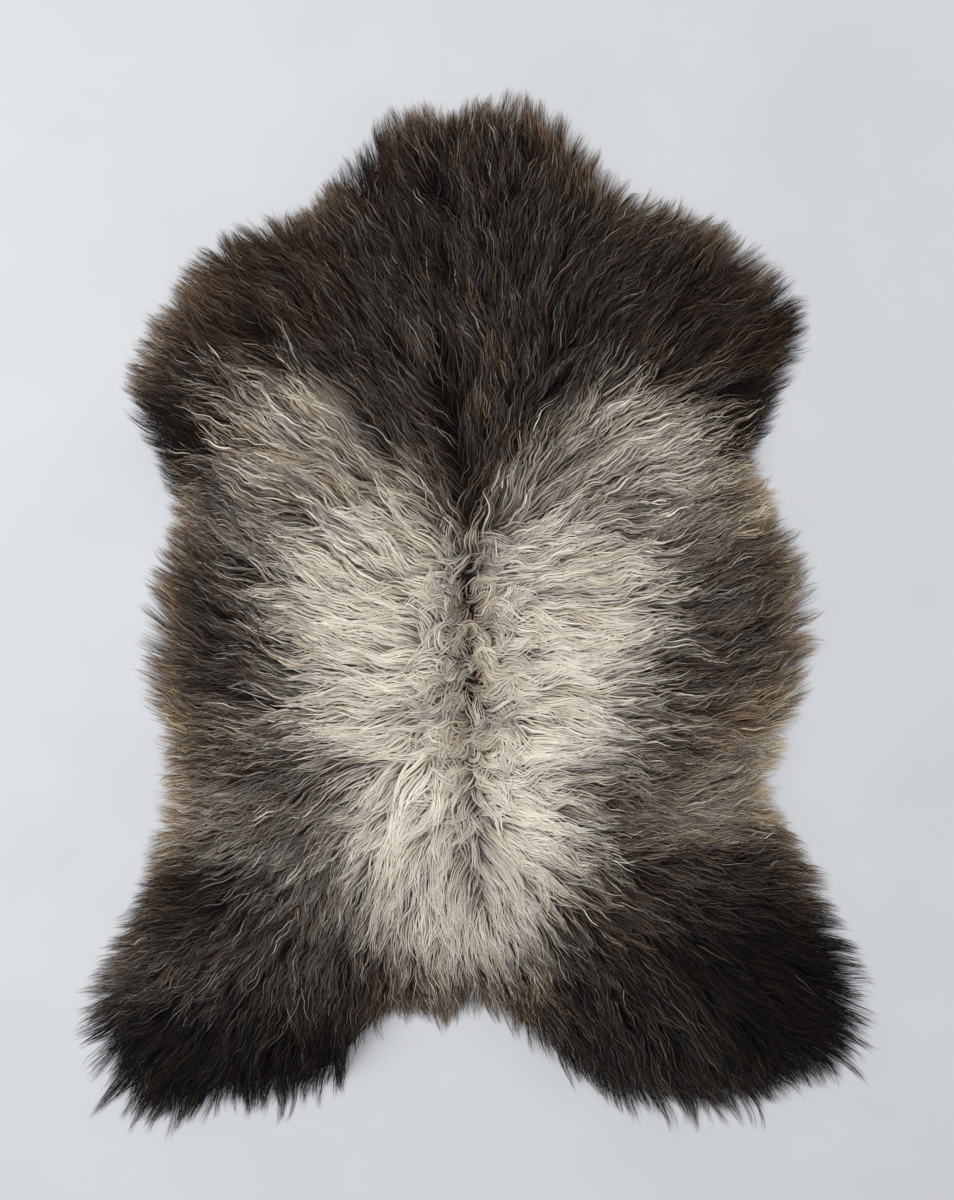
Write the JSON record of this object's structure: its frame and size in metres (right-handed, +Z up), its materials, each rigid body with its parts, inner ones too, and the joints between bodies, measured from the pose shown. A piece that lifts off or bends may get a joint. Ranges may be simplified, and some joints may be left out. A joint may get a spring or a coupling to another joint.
{
  "type": "sheepskin rug",
  "caption": "Long-wool sheepskin lying flat, wool combed outwards from a parting along the spine, with tapering locks round its rim and the outline of the whole skin.",
  "frame": {"origin": "middle of the underside's bounding box, on the floor", "axes": "+Y along the spine towards the neck, +X to the right-hand side seen from above, +Z up out of the wool"},
  "size_m": [0.8138, 1.0574, 0.0572],
  "materials": {
    "wool": "long natural wool, cream over the back and dark brown to black at the neck, flanks and legs, with a soft sheen",
    "pelt": "tanned suede flesh side, matt"
  },
  "bodies": {
    "root": {"sheepskin": "wool"}
  },
  "joints": []
}
